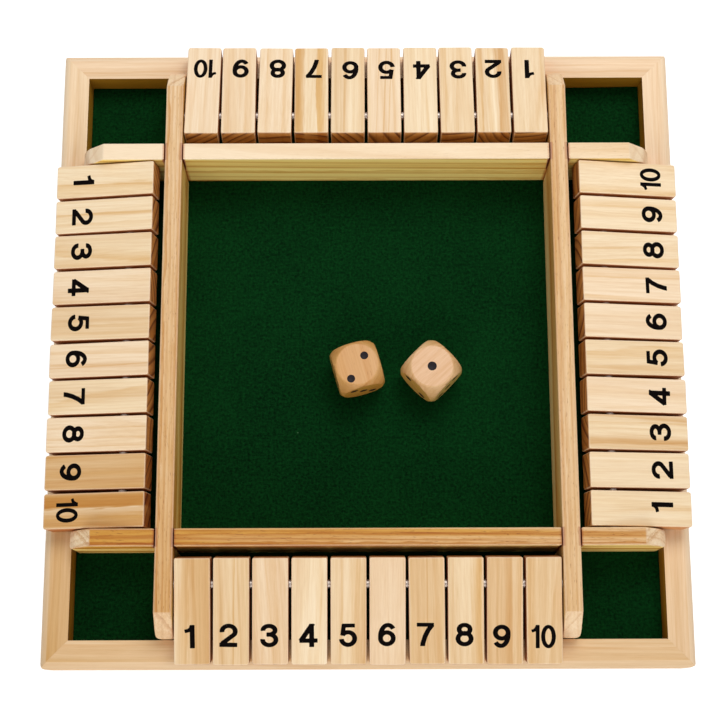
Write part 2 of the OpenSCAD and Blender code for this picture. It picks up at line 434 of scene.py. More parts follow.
def makeWood(name):
    w = {**usual, **kinds[name]}
    material, tree, shader = newMaterial(name)
    grain = readAttribute(tree, "grain")      # millimetres along the fibres, and from the pith
    tone, rosiness, contrast = split(tree, readAttribute(tree, "look"))
    endGrain, eased, ringGap = split(tree, readAttribute(tree, "cut"))
    paintedShade, jointAndShade, wash = split(tree, readAttribute(tree, "marks"))

    # late wood shows more where shade is painted, and most on the sawn ends
    age, ring, strong = addRings(tree, w, grain, ringGap)
    patch = span(tree, streaks(tree, grain, fibres["patch"], 1.0)[0], *fibres["patchPart"])
    contrast = times(tree, contrast, calc(tree, "MULTIPLY_ADD", paintedShade, 1.6, 1))
    late = times(tree, ring, times(tree, strong, patch))
    late = times(tree, late, contrast, clamp=True)
    ends = times(tree, calc(tree, "POWER", ring, 0.6), calc(tree, "MULTIPLY_ADD", strong, 0.6, 0.4))
    late = calc(tree, "MAXIMUM", late, times(tree, ends, endGrain))

    # streaks, fibres, flecks and broad clouds
    streak = streaks(tree, grain, (w["streakRun"], fibres["streakAcross"]), 4.0, 0.6)[0]
    fibre = streaks(tree, grain, fibres["fibre"], 2.0, 0.6)[0]
    broad = streaks(tree, grain, fibres["broad"])[0]
    fleck = streaks(tree, grain, fibres["fleck"], 2.0, 0.55)[0]
    fleck = span(tree, fleck, w["fleckFrom"], w["fleckFrom"] + 0.08, 0, 0.5 * w["flecks"])
    fleck = times(tree, fleck, calc(tree, "ADD", tone, 0.25, clamp=True))

    # the tone drifts in clouds and from ring to ring, and the wash mark takes it away
    band = span(tree, ringNoise(tree, age, fibres["bandPlace"]), *fibres["bandPart"], -w["bands"], w["bands"])
    toneHere = swing(tree, tone, broad, fibres["toneSwing"])
    toneHere = times(tree, toneHere, calc(tree, "SUBTRACT", 1, wash))
    toneHere = calc(tree, "ADD", toneHere, times(tree, band, contrast), clamp=True)
    colour = blendColor(tree, toneHere, tint(w["pale"]), tint(w["honey"]))
    colour = blendColor(tree, rosiness, colour, tint(w["rosy"]))
    lateHere = blendColor(tree, endGrain, [*w["late"], 1], [*w["endLate"], 1])
    colour = blendColor(tree, late, colour, lateHere, "MULTIPLY")
    darker, lighter = addFigure(tree, grain, w)
    colour = darken(tree, darker, colour, w["late"])
    colour = blendColor(tree, lighter, colour, tint(w["pale"]))
    streaked = calc(tree, "MULTIPLY_ADD", tone, w["plain"], 1 - w["plain"], clamp=True)
    streaked = times(tree, streaked, span(tree, streak, *fibres["streakPart"]))
    colour = darken(tree, streaked, colour, w["streak"])
    colour = darken(tree, span(tree, fibre, *fibres["fibrePart"]), colour, fibres["fibreTint"])
    colour = darken(tree, fleck, colour, fibres["fleckTint"])
    colour = darken(tree, endGrain, colour, w["end"])
    # painted shade: a darker tint on the faces marked for it
    colour = darken(tree, paintedShade, colour, w["paintedShade"])
    if "crossingJointShade" in w:
        jointAndShade = calc(tree, "MAXIMUM", jointAndShade, addCrossingJointShade(tree, w, fibre))
    # dark joints, and painted shade in the gaps between tiles and at the crossings
    colour = darken(tree, jointAndShade, colour, fibres["jointShadeTint"])
    # a painted highlight along the eased edges
    colour = blendColor(tree, times(tree, eased, w["edgeHighlight"]), colour, tint(fibres["highlightTint"]))
    rough = span(tree, streak, 0.3, 0.7, w["gloss"] - 0.05, w["gloss"] + 0.1)
    setUp(tree, shader, {
        "Base Color": colour, "Roughness": calc(tree, "MULTIPLY_ADD", endGrain, 0.2, rough),
        "Specular IOR Level": fibres["specular"], "Coat Weight": fibres["coat"],
        "Coat Roughness": fibres["coatRough"],
    })
    height = calc(tree, "MULTIPLY_ADD", late, 0.35, times(tree, fibre, 0.5))
    height = calc(tree, "SUBTRACT", height, fleck)
    addBump(tree, shader, height, fibres["bumpHeight"], fibres["bump"])
    return material


def addGrain(piece, along, look, luck, marked=None, lean=0):
    # writes where each point lay in its tree, before the piece is turned to its place; marked
    # gives a face's painted shade, its dark joint and painted gap shade, and wash, and lean carries the
    # figures down the sides
    mesh = piece.data
    domains = {"grain": "POINT", "look": "POINT", "figures": "POINT", "depths": "POINT",
               "cut": "FACE", "marks": "FACE"}
    for name, domain in domains.items():
        mesh.attributes.new(name, "FLOAT_VECTOR", domain)
    grain, toned, figures, depths, cut, marks = [mesh.attributes[name].data for name in domains]
    lows, highs = [[pick(v.co[i] for v in mesh.vertices) for i in range(3)] for pick in (min, max)]
    centre = (Vector(lows) + Vector(highs)) / 2
    angle = math.radians(look["angle"])
    start = luck.uniform(0, 3000)
    bands = (list(look.get("figures", ())) + [(0, 0, 1, 0)] * 3)[:3]
    for i, vertex in enumerate(mesh.vertices):
        place = Vector((vertex.co - centre) / mm)
        u, v, w = place[along], place[(along + 1) % 3], place[(along + 2) % 3]
        side = place[1 - along] + lean * (place.z - (highs[2] - centre.z) / mm)
        across = v * math.cos(angle) - w * math.sin(angle) + look["pith"] + look["slope"] * u
        deep = v * math.sin(angle) + w * math.cos(angle)
        grain[i].vector = (u + start, across, deep)
        toned[i].vector = (look["tone"] + look.get("drift", 0) * u / 100, look["rosy"], look["contrast"])
        figures[i].vector = [(side - middle - slant * u) / half for middle, slant, half, depth in bands]
        depths[i].vector = [depth for middle, slant, half, depth in bands]
    for i, face in enumerate(mesh.polygons):
        facing = [abs(c) for c in face.normal]
        endGrain = max(0, (facing[along] - 0.35) / 0.65)
        cut[i].vector = (endGrain, 1 if max(facing) < 0.97 else 0, look["ring"])
        marks[i].vector = marked(face) if marked else (0, 0, 0)


woods = {name: makeWood(name) for name in kinds}
print("woods made")

rails = {
    "width": 9.5, "edgeRound": 3.5, "edgeSteps": 10, "cornerRounds": (2, 2.4, 3.2, 2.2), "cornerSteps": 6,
    "grooveDepth": 4, "grooveLift": 2, "grooveHeight": 3, "ease": 0.25, "innerPaintedShade": 1, "seed": 10,
    "front": {"tone": 0.58, "rosy": 0, "contrast": 0.6, "ring": 3.1, "pith": 60, "angle": 20, "slope": 0.01},
    "right": {
        "tone": 0.2, "rosy": 0.2, "contrast": 0.4, "ring": 2.9, "pith": 48, "angle": 35, "slope": 0.006,
        "drift": -0.24,
    },
    "back": {"tone": 0.2, "rosy": 0.3, "contrast": 0.5, "ring": 2.6, "pith": 45, "angle": 24, "slope": 0},
    "left": {
        "tone": 0.4, "rosy": 0, "contrast": 0.5, "ring": 2.8, "pith": 52, "angle": 28, "slope": 0.008,
        "drift": 0.42,
    },
}


def makeRails(r):
    half = cadHigh.x
    inner = half - r["width"] * mm
    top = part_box("frame_front")[1].z
    corner = addBlock("cornerBlock", (-half, -half, -past), (half, half, 3 * past))
    for side, cornerRound in zip(sides, r["cornerRounds"]):
        place = sideTurn(side) @ Vector((-half, -half, 0))
        bevelEdges(corner, lambda middle, way: abs(way.z) > 0.9 and (middle.xy - place.xy).length < mm,
                   cornerRound * mm, r["cornerSteps"])
    for number, side in enumerate(sides):
        luck = random.Random(r["seed"] + number)
        rail = addBlock("pine_rail_" + side, (-half, -half, 0), (half, -inner, top))
        bevelEdges(rail, lambda middle, way: abs(way.x) > 0.9 and middle.y < -inner - mm
                   and middle.z > top - mm, r["edgeRound"] * mm, r["edgeSteps"])
        grooveLow = r["grooveLift"] * mm
        cutWith(rail, addBlock("groove", (-1, -inner - r["grooveDepth"] * mm, grooveLow),
                               (1, -inner + past, grooveLow + r["grooveHeight"] * mm)))
        sliceOff(rail, (half, -half, 0), (1, 1, 0))
        sliceOff(rail, (-half, -half, 0), (-1, 1, 0))
        cutWith(rail, corner, "INTERSECT", keepTool=True)
        smoothOff(rail, r["ease"] * mm)
        # the inner faces carry painted shade
        addGrain(rail, 0, r[side], luck, lambda face: (r["innerPaintedShade"] if face.normal.y > 0.9 else 0, 0, 0))
        rail.data.transform(sideTurn(side))
        dress(rail, woods["framePine"], "tray", "frame_" + side)
    bpy.data.objects.remove(corner)


makeRails(rails)
print("rails made")

panel = {
    "ease": 0.2, "seed": 3,
    "tone": 0.35, "rosy": 0.15, "contrast": 0.8, "ring": 7, "pith": 120, "angle": 88, "slope": 0.05,
}


def makePanel(p):
    low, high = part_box("base_panel")
    sheet = addBlock("plywood_base", low, high)
    smoothOff(sheet, p["ease"] * mm)
    addGrain(sheet, 0, p, random.Random(p["seed"]))
    dress(sheet, woods["panelWood"], "tray", "base_panel")


# sag, curl, clear and curlReach in millimetres, noise scales per metre
felt = {
    "cells": 150, "smooth": 50, "sag": 0.12, "rough": (180, 650), "clear": 2,
    "curl": 0.9, "curlReach": 5, "wave": 45, "waveRow": 1.7, "waveLift": 0.25, "calm": 0.35,
    "colour": (12, 66, 26), "deep": (2, 26, 8), "lint": (92, 128, 92), "sheen": (60, 120, 70),
    "fuzz": 1500, "hairs": ((3200, 420, 900), (420, 3200, 900), (1500, 1700, 900)),
    "clump": 1000, "broad": 38, "broadShare": 0.12, "shade": (0.48, 0.78), "bump": (0.0004, 0.7),
    "lintCells": 85, "lintNoise": 900, "lintShift": 0.0012, "lintEdge": (0.028, 0.018), "lintFrom": 0.82,
    "lintShare": 0.6,
}


def addLint(tree, coords, f):
    # here and there a pale fibre end, its outline drawn out by a noise
    values = {0: cloud(tree, coords, f["lintNoise"], 1.0)["Color"], 1: [f["lintShift"]] * 3, 2: coords}
    warped = addNode(tree, "ShaderNodeVectorMath", values, operation="MULTIPLY_ADD")[0]
    speck = addNode(tree, "ShaderNodeTexVoronoi", {"Vector": warped, "Scale": f["lintCells"]})
    chosen = calc(tree, "GREATER_THAN", split(tree, speck["Color"])[0], f["lintFrom"])
    near = span(tree, speck["Distance"], *f["lintEdge"])
    return times(tree, near, times(tree, chosen, f["lintShare"]))


def makeFeltMaterial(f):
    material, tree, shader = newMaterial("felt")
    coords = ownPlace(tree)
    fuzz = cloud(tree, coords, f["fuzz"], 3.0, 0.65)[0]
    for scales in f["hairs"]:
        fuzz = calc(tree, "MAXIMUM", fuzz, streaks(tree, coords, scales)[0])
    clump = cloud(tree, coords, f["clump"], 3.0, 0.6)[0]
    broad = cloud(tree, coords, f["broad"], 2.0)[0]
    shade = calc(tree, "ADD", times(tree, fuzz, 0.5), times(tree, clump, 0.5))
    shade = calc(tree, "ADD", shade, times(tree, broad, f["broadShare"]))
    colour = blendColor(tree, span(tree, shade, *f["shade"]), tint(f["deep"]), tint(f["colour"]))
    colour = blendColor(tree, addLint(tree, coords, f), colour, tint(f["lint"]))
    setUp(tree, shader, {
        "Base Color": colour, "Roughness": 0.95, "Specular IOR Level": 0.03,
        "Sheen Weight": 0.03, "Sheen Roughness": 0.5, "Sheen Tint": tint(f["sheen"]),
    })
    addBump(tree, shader, calc(tree, "ADD", fuzz, clump), *f["bump"])
    return material


def makeFelt(f):
    low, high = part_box("felt_lining")
    bpy.ops.mesh.primitive_grid_add(x_subdivisions=f["cells"], y_subdivisions=f["cells"], size=1,
                                    location=(0, 0, high.z))
    sheet = takeNew("felt_sheet", (high.x - low.x, high.y - low.y, 1))
    applyModifier(sheet, "SOLIDIFY", thickness=high.z - low.z, offset=-1)
    middle = (low.z + high.z) / 2
    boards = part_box("divider_right")[1].x + f["clear"] * mm
    curlReach = f["curlReach"] * mm
    for vertex in sheet.data.vertices:
        p = vertex.co
        if p.z < middle:
            continue
        rough = noise.noise(p * f["rough"][0]) * 0.5 + noise.noise(p * f["rough"][1]) * 0.5
        lift = -f["sag"] * mm * (0.5 + 0.5 * rough)
        free = min(abs(p.x), abs(p.y)) > boards
        gap = high.x - max(abs(p.x), abs(p.y))
        if free and gap < curlReach:
            wave = noise.noise(Vector((p.x * f["wave"], p.y * f["wave"], f["waveRow"])))
            back = 1 if p.x > 0 and p.y > 0 else f["calm"]
            lift += f["curl"] * mm * back * max(0, wave + f["waveLift"]) * (1 - gap / curlReach) ** 2
        p.z += lift
    useOnly(sheet)
    bpy.ops.object.shade_smooth_by_angle(angle=math.radians(f["smooth"]))
    dress(sheet, makeFeltMaterial(f), "tray", "felt_lining")


makePanel(panel)
makeFelt(felt)
print("base and felt made")

dividers = {
    "thick": 6, "rampRun": 5.8, "rampDrop": 5.3, "tipRun": 2.2, "tipDrop": 3.5, "endRound": 1.3,
    "topEase": 0.5, "kinkEase": 0.5, "notchEase": 0.7, "lapFit": 0.4, "rodSeat": 4, "rodRound": 1.52,
    "innerPaintedShade": {"front": 0.9, "right": 0.55, "back": 1, "left": 0.85}, "outerPaintedShade": 0.9,
    "sideWash": 0.6, "endWash": {"front": 0.9, "right": 0.2, "back": 0.2, "left": 0.2}, "seed": 20,
    "front": {
        "tone": 0.95, "rosy": 0, "contrast": 0.85, "ring": 2.2, "pith": 40, "angle": 24, "slope": 0.014,
        "drift": -0.26, "figures": [(-2.5, 0, 0.7, 0.9), (0.8, 0.004, 0.5, 0.7), (-0.9, -0.006, 0.4, 0.6)],
    },
    "right": {
        "tone": 0.6, "rosy": 0.1, "contrast": 0.7, "ring": 3.1, "pith": 45, "angle": 14, "slope": 0.004,
        "drift": 0.07, "figures": [(0.6, 0.004, 0.6, 0.4), (2.5, 0, 0.7, 0.5), (-2.7, 0, -0.4, 0.5)],
    },
    "back": {
        "tone": -0.12, "rosy": 0, "contrast": 0.55, "ring": 4.6, "pith": 50, "angle": 78, "slope": 0.02,
        "drift": -0.3, "figures": [(-10, 0, 1.2, 0.55), (-20, 0, 1.8, 0.5), (-4, 0, 0.6, 0.3)],
    },
    "left": {
        "tone": 0.65, "rosy": 0.15, "contrast": 0.7, "ring": 3.2, "pith": 45, "angle": 16, "slope": -0.004,
        "drift": 0.18, "figures": [(-2.4, 0, 0.7, 0.8), (2.3, 0, 0.7, 0.7), (0.9, 0.001, 0.3, 0.4)],
    },
}


def makeDividers(d):
    low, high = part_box("divider_front")
    thick, end, top = d["thick"] * mm, high.x, high.z
    outer, inner = low.y, low.y + thick
    crossing = -(outer + inner) / 2
    lap = (low.z + top) / 2
    rodY, rodZ = joints["tile_front_5_flip"]["pos_m"][1:]
    notchHalf = thick / 2 + d["lapFit"] * mm
    kink, step = end - d["tipRun"] * mm, top - d["rampDrop"] * mm
    near = 0.1 * mm

    def boardMarks(face):
        # both sides get painted shade over a paler tone, the notch faces a dark joint with painted shade, and
        # the sloped ends a paler tone
        steep = abs(face.normal.x)
        if abs(abs(face.center.x) - crossing) < notchHalf + d["notchEase"] * mm and steep > 0.3:
            return 0, 1, 0
        paintedShade = 0
        if abs(face.normal.y) > 0.9:
            paintedShade = d["innerPaintedShade"][side] if face.normal.y > 0 else d["outerPaintedShade"]
        return paintedShade, 0, d["sideWash"] * paintedShade + (d["endWash"][side] if steep > 0.5 else 0)

    for number, side in enumerate(sides):
        board = addBlock("pine_board_" + side, (-end, outer, low.z), (end, inner, top))
        for way in (-1, 1):
            sliceOff(board, (way * kink, 0, step), (way * d["rampDrop"], 0, d["rampRun"]))
            sliceOff(board, (way * kink, 0, step), (way * d["tipDrop"], 0, d["tipRun"]))
        # upright corners, then the long edges along the top and down both slopes, then the kinks
        bevelEdges(board, lambda middle, way: abs(way.z) > 0.98 and abs(middle.x) > end - near,
                   d["endRound"] * mm, segments=4)
        bevelEdges(board, lambda middle, way: abs(way.y) < 0.5 and middle.z > step - d["tipDrop"] * mm
                   and abs(middle.y + crossing) > thick / 2 - near,
                   d["topEase"] * mm, segments=3, fold=40)
        bevelEdges(board, lambda middle, way: abs(way.y) > 0.9 and middle.z > step - mm,
                   d["kinkEase"] * mm, segments=3, fold=10)
        smoothOff(board, 0)
        fromAbove = side in ("front", "back")
        for way in (-1, 1):
            x = way * crossing
            z = (lap, top + past) if fromAbove else (low.z - past, lap)
            cutWith(board, addBlock("notch", (x - notchHalf, outer - past, z[0]),
                                    (x + notchHalf, inner + past, z[1])))
            bevelEdges(board, lambda middle, way: abs(abs(middle.x - x) - notchHalf) < near / 2
                       and abs(way.z) > 0.9, d["notchEase"] * mm, segments=3)
            cutWith(board, addRound("seat", (-way * rodY, inner - d["rodSeat"] * mm, rodZ),
                                    (d["rodSeat"] + 1) * mm, d["rodRound"] * mm, "Y"))
        smoothOff(board, 0)
        addGrain(board, 0, d[side], random.Random(d["seed"] + number), boardMarks, lean=1)
        board.data.transform(sideTurn(side))
        dress(board, woods["dividerPine"], "tray", "divider_" + side)


makeDividers(dividers)
print("dividers made")

rods = {
    "ease": 0.3, "drawn": (900, 900), "dark": (172, 160, 150), "pale": (200, 188, 178), "rough": (0.36, 0.5),
}


def makeSteel(r):
    material, tree, shader = newMaterial("steel")
    drawn = streaks(tree, ownPlace(tree), r["drawn"], 3.0, 0.6)[0]
    setUp(tree, shader, {
        "Base Color": blendColor(tree, drawn, tint(r["dark"]), tint(r["pale"])),
        "Metallic": 1, "Roughness": span(tree, drawn, 0.3, 0.7, *r["rough"]),
    })
    addBump(tree, shader, drawn, 0.000005, 0.3)
    return material


def makeRods(r):
    steel = makeSteel(r)
    low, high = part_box("rod_front")
    radius = (high.z - low.z) / 2
    middle = (low + high) / 2
    for side in sides:
        rod = addRound("steel_rod_" + side, (low.x, middle.y, middle.z), high.x - low.x, radius, "X")
        smoothOff(rod, r["ease"] * mm)
        rod.data.transform(sideTurn(side))
        dress(rod, steel, "tray", "rod_" + side)


makeRods(rods)
print("rods made")

# tones of the tiles 1 to 10 on each side, from pale to honey, and how rosy they are
tiles = {
    "ease": 0.42, "outerRound": 0.85, "innerRound": 0.6, "boreRound": 1.58, "yaw": 0.55, "sizePlay": 0.012,
    "sidePaintedShade": 0.75, "edgePaintedShade": 0.25, "sideGapShade": 0.6, "toneScale": 0.5, "seed": 1000, "rowSeeds": 100,
    "front": (0.95, 0.9, 0.93, 0.55, 0.86, 0.7, 0.78, 0.66, 0.98, 0.9),
    "right": (0.36, 0.22, 0.6, -0.35, 0.52, 0.02, -0.35, -0.18, -0.08, 0.1),
    "back": (0.22, 0.52, 0.4, 0.4, 0, 0.4, 0.35, 0.05, 0.25, -0.2),
    "left": (-0.2, -0.34, 0.48, 0.12, 0.42, -0.08, 0.36, -0.25, 1.95, 1.95),
    "rosy": {
        "front": (0, 0, 0.25, 0, 0, 0.25, 0, 0, 0, 0), "right": (0, 0, 0, 0.3, 0, 0.25, 0.3, 0, 0, 0),
        "back": (0, 0, 0, 0, 0.25, 0, 0, 0.25, 0.25, 0.3), "left": (0, 0, 0, 0.25, 0, 0.3, 0, 0.3, 0, 0),
    },
}
# bands that stand out on one tile: place across, slant, half width and depth
tileFigures = {
    "front": {
        1: [(-2.6, 0.02, 1.6, 0.6), (4.8, 0, 1.2, 0.4)],
        2: [(0.8, 0.01, 0.3, 0.8), (3.6, 0, 2, 0.3)],
        3: [(1, -0.06, 1.5, 0.35), (-5, 0, -0.8, 0.3)],
        5: [(2.4, 0, 2.4, 0.4), (5.2, 0, 0.6, 0.4)],
        7: [(0.1, 0, 0.25, 0.8), (3.8, 0, 2, 0.45), (-4, 0, -1.6, 0.35)],
        8: [(4, 0, 1.5, 0.9), (-4.6, 0.02, 0.5, 0.3)],
        9: [(1.6, 0, 0.9, 0.55), (4.6, 0, 1.1, 0.55), (-2.6, 0, 0.4, 0.4)],
        10: [(-4.2, 0, -1.5, 0.6), (1.6, 0.09, 1.2, -0.4)],
    },
    "left": {
        1: [(3.4, 0, -2.6, 0.55)],
        2: [(-0.4, 0, -0.8, 0.5), (3.2, 0, -0.8, 0.4)],
        3: [(1.2, 0.12, 2.2, 0.55), (5, 0, 1.2, 0.4)],
        5: [(2.6, 0, -2.6, 0.3)],
        6: [(2.2, -0.02, 0.25, 0.6)],
        7: [(0.6, -0.14, -2, 0.5)],
        8: [(-2.2, 0, 0.4, 0.45), (1.4, 0, 0.4, 0.5), (4, 0, 0.4, 0.4)],
        9: [(-1, 0.01, 0.3, 0.5), (3.6, -0.02, 1, 0.45)],
        10: [(0.2, -0.03, -1.5, -0.65), (4.4, 0.02, 1, 0.6), (-3.4, 0, 2.6, 0.9)],
    },
    "right": {
        10: [(-4.6, 0, -1.2, 0.6), (4.8, 0, 1.2, 0.35)],
        9: [(3, 0, -1, 0.5)],
        7: [(3.2, 0, -1, 0.55)],
        5: [(1.4, -0.05, 2.2, 0.5), (-3.4, 0.03, -1, 0.35)],
        3: [(3, 0, 0.5, 0.5), (-3.4, -0.02, -0.7, 0.7)],
        1: [(0.6, 0.05, 2, 0.3)],
    },
    "back": {
        9: [(-3.6, 0, 1.5, 0.4), (3, 0, 1.2, 0.35)],
        8: [(2.6, 0, 0.8, 0.45), (-3.4, 0, 1, 0.45)],
        7: [(4.4, 0, 1.5, 1.6), (-3.4, 0, 1.5, 1.5), (0.8, 0, 2, -0.7)],
        6: [(1, 0.01, 0.4, 0.4), (-5, 0, -0.9, 0.5)],
        5: [(-2.2, 0.04, 0.25, 0.7), (-0.4, 0.04, 0.25, 0.7), (2.2, 0.04, 0.25, 0.6)],
        3: [(4.6, 0, -1.2, 0.5), (-0.5, 0.04, 1, 0.25)],
        2: [(4.6, 0, -1, 0.7), (-3.2, 0, 1, 0.8), (0.9, 0, 0.6, 0.45)],
        1: [(-5, 0, 0.8, 0.4)],
    },
}
numbers = {
    "tall": 7.6, "stroke": 1.62, "narrowStroke": 1.36, "thin": 0.86, "thick": 0.06, "corner": 0.2,
    "arcStep": 7.5, "spread": 1800, "wear": 5200, "printOff": 0.2, "printTurn": 1,
    "places": {"front": (-0.2, -16.5), "right": (0, -16.8), "back": (-0.62, -17.1), "left": (0.1, -16.6)},
    "nudges": {
        "front": ((0, -0.3), (-0.4, 0.1), (-0.1, 0), (-0.2, 0), (-0.1, 0),
                  (0.1, 0.2), (-0.6, 0.2), (-0.5, 0.1), (-0.9, -0.5), (-0.2, -0.6)),
        "right": ((0.8, 1), (0.2, 0.4), (0.1, 0.5), (0, 0.2), (0.3, 0.4),
                  (0.1, 0.1), (0, -0.5), (0, -0.1), (0, -0.2), (0.3, -0.2)),
        "back": ((0.8, 0.2), (0.3, 0.1), (-0.1, 0.3), (0.3, 0.5), (-0.2, 0.4),
                 (-0.4, 0.5), (-0.2, -0.1), (0.2, -0.2), (0.2, -0.3), (0.1, -0.3)),
        "left": ((0, 0.3), (0, 0.3), (0, 0.4), (-0.2, -0.2), (-0.3, 0.3),
                 (-0.7, 0), (-0.4, -0.2), (-0.3, -0.1), (-0.3, -0.5), (-0.5, -1.2)),
    },
    "ink": (5, 3, 3), "faded": (17, 12, 11), "worn": (92, 68, 48),
}


def tilePlace(side, number):
    # the tile's own axes: X across, Y inwards, Z out of its numbered face, from its bore's middle
    joint = joints[f"tile_{side}_{number}_flip"]
    across = -Vector(joint["axis"])
    mesh = frame["nodes"][f"tile_{side}_{number}"].data
    upper = max((f for f in mesh.polygons if f.normal.z > 0.9), key=lambda f: f.area)
    up = upper.normal.normalized()
    inwards = up.cross(across)
    turn = Matrix((across, inwards, up)).transposed().to_4x4()
    return Matrix.Translation(joint["pos_m"]) @ turn


def tileSize():
    # lowest and highest corners of a level tile about its bore
    back = tilePlace("front", 5).inverted()
    points = [back @ v.co for v in frame["nodes"]["tile_front_5"].data.vertices]
    return [Vector([pick(p[i] for p in points) for i in range(3)]) for pick in (min, max)]


def makeTileMaster(t):
    low, high = tileSize()
    tile = addBlock("tileMaster", low, high)
    bevelEdges(tile, lambda middle, way: abs(way.z) > 0.9 and middle.y < 0, t["outerRound"] * mm, segments=5)
    bevelEdges(tile, lambda middle, way: abs(way.z) > 0.9 and middle.y > 0, t["innerRound"] * mm, segments=4)
    smoothOff(tile, t["ease"] * mm, segments=3)
    cutWith(tile, addRound("bore", (low.x - mm, 0, 0), high.x - low.x + 2 * mm, t["boreRound"] * mm, "X",
                           segments=32))
    smoothOff(tile, 0)
    return tile


def tileLook(side, number, luck, t):
    return {
        "tone": t[side][number - 1] * t["toneScale"],
        "rosy": t["rosy"][side][number - 1] + luck.choice((0, 0, 0.02, 0.04, 0.06)),
        "figures": tileFigures[side].get(number, ()),
        "contrast": luck.uniform(0.3, 0.8),
        "ring": luck.uniform(2.6, 4.6),
        "pith": luck.uniform(18, 60),
        "angle": luck.uniform(-65, 65) + 180 * luck.randint(0, 1),
        "slope": luck.gauss(0, 0.03),
    }


# each stroke is a share of the pen's width, then arcs (centre, radii, from and to in degrees)
# and points, in millimetres from the digit's middle; level strokes come out thinner
digitStrokes = {
    "1": [[1, (0.5, -4.2), (0.5, 4.2)], [0.85, (-2, 1.75), (-0.8, 2), (-0.05, 2.5), (0.4, 3.5)]],
    "2": [[1, (0.02, 1.3, 2.18, 1.8, 190, -38), (-2.1, -2.7)], [1.05, (-2.95, -3.12), (2.95, -3.12)]],
    "3": [[1, (-0.1, 1.72, 1.98, 1.4, 188, -90), (-0.75, 0.3)],
          [1, (-0.95, 0.32), (0, -1.4, 2.18, 1.72, 90, -188)]],
    "4": [[1, (1.05, -4.2), (1.05, 4.2)], [1, (-3, -1.7), (3, -1.7)], [1.05, (1.5, 3.9), (-2.55, -1.8)]],
    "5": [[0.95, (2.3, 3.2), (-1.75, 3.2)], [0.9, (-1.3, 3.75), (-1.85, -0.1)],
          [1, (0, -1.05, 2.18, 2.05, 148, -176)]],
    "6": [[1, (0.05, -1.2, 2.1, 1.9, 0, 360)], [1, (0.35, -0.7, 2.42, 3.8, 44, 184)]],
    "7": [[0.95, (-2.85, 3.2), (2.8, 3.2)],
          [1, (2.25, 3.2), (0.95, 1.5), (-0.1, -0.6), (-0.75, -2.7), (-1, -4.2)]],
    "8": [[1, (0, 1.72, 1.8, 1.42, 0, 360)], [1, (0, -1.32, 2.15, 1.8, 0, 360)]],
    "10": [[0.95, (-1.9, -4.2), (-1.9, 4.2)], [0.85, (-3.9, 1.75), (-3.05, 2), (-2.45, 2.5), (-1.98, 3.4)],
           [1, (1.65, 0, 1.75, 3.22, 0, 360)]],
}


def strokePoints(run):
    points = []
    for part in run[1:]:
        if len(part) == 2:
            points.append(part)
            continue
        x, y, wide, tall, start, stop = part
        steps = max(4, round(abs(stop - start) / numbers["arcStep"]))
        for i in range(steps + 1):
            a = math.radians(start + (stop - start) * i / steps)
            points.append((x + wide * math.cos(a), y + tall * math.sin(a)))
    return [(x, y / numbers["thin"]) for x, y in points]


def addPath(name, points, closed):
    path = bpy.data.curves.new(name, "CURVE")
    line = path.splines.new("POLY")
    line.points.add(len(points) - 1)
    for point, (x, y) in zip(line.points, points):
        point.co = (x, y, 0, 1)
    line.use_cyclic_u = closed
    made = bpy.data.objects.new(name, path)
    bpy.context.scene.collection.objects.link(made)
    return made


def addStroke(points, width, height):
    # a bar swept along the stroke's middle line, a thousand times too large
    closed = math.dist(points[0], points[-1]) < 0.001
    x, y = width / 2, height / 2
    bar = addPath("bar", [(x, y), (-x, y), (-x, -y), (x, -y)], True)
    stroke = addPath("stroke", points[:-1] if closed else points, closed)
    path = stroke.data
    path.dimensions = "3D"
    path.twist_mode = "Z_UP"
    path.bevel_mode = "OBJECT"
    path.bevel_object = bar
    path.use_fill_caps = not closed
    useOnly(stroke)
    bpy.ops.object.convert(target="MESH")
    bpy.data.objects.remove(bar)
    faceOutwards(stroke)
    return stroke


def makeDigit(name, n):
    turned = name == "9"
    width = n["narrowStroke"] if name == "10" else n["stroke"]
    runs = digitStrokes["6" if turned else name]
    # each bar is a little taller than the last, so that no two faces coincide before the trim
    digit, *rest = [addStroke(strokePoints(run), width * run[0], 2 + 0.3 * i) for i, run in enumerate(runs)]
    for other in rest:
        cutWith(digit, other, "UNION")
    half = n["tall"] / 2 / n["thin"]
    cutWith(digit, addBlock("trim", (-20, -half, -0.5), (20, half, 0.5)), "INTERSECT")
    startEdit(digit)
    bpy.ops.mesh.select_all(action="SELECT")
    bpy.ops.mesh.dissolve_limited(angle_limit=math.radians(1))
    bpy.ops.object.mode_set(mode="OBJECT")
    bevelEdges(digit, lambda middle, way: abs(way.z) > 0.9, n["corner"], segments=3, fold=40)
    if turned:
        digit.data.transform(turnBy(180, "Z"))
    digit.data.transform(Matrix.Diagonal((mm, mm * n["thin"], n["thick"] * mm, 1)))
    smoothOff(digit, 0)
    digit.name = "digit" + name
    return digit


def makeInk(n):
    material, tree, shader = newMaterial("numberInk")
    coords = ownPlace(tree)
    spread = cloud(tree, coords, n["spread"], 3.0, 0.6)[0]
    worn = span(tree, cloud(tree, coords, n["wear"], 2.0, 0.6)[0], 0.70, 0.8, 0, 0.35)
    colour = blendColor(tree, span(tree, spread, 0.35, 0.7), tint(n["ink"]), tint(n["faded"]))
    setUp(tree, shader, {
        "Base Color": blendColor(tree, worn, colour, tint(n["worn"])),
        "Specular IOR Level": 0.02, "Roughness": span(tree, spread, 0.3, 0.7, 0.6, 0.75),
    })
    addBump(tree, shader, spread, 0.00002, 0.5)
    return material


def tileMarks(face):
    # painted shade: sawn sides are dark in the gaps between tiles, and the eased edges beside them a little
    side = abs(face.normal.x)
    if side > 0.9:
        return tiles["sidePaintedShade"], tiles["sideGapShade"], 0
    return tiles["edgePaintedShade"] if side > 0.3 else 0, 0, 0


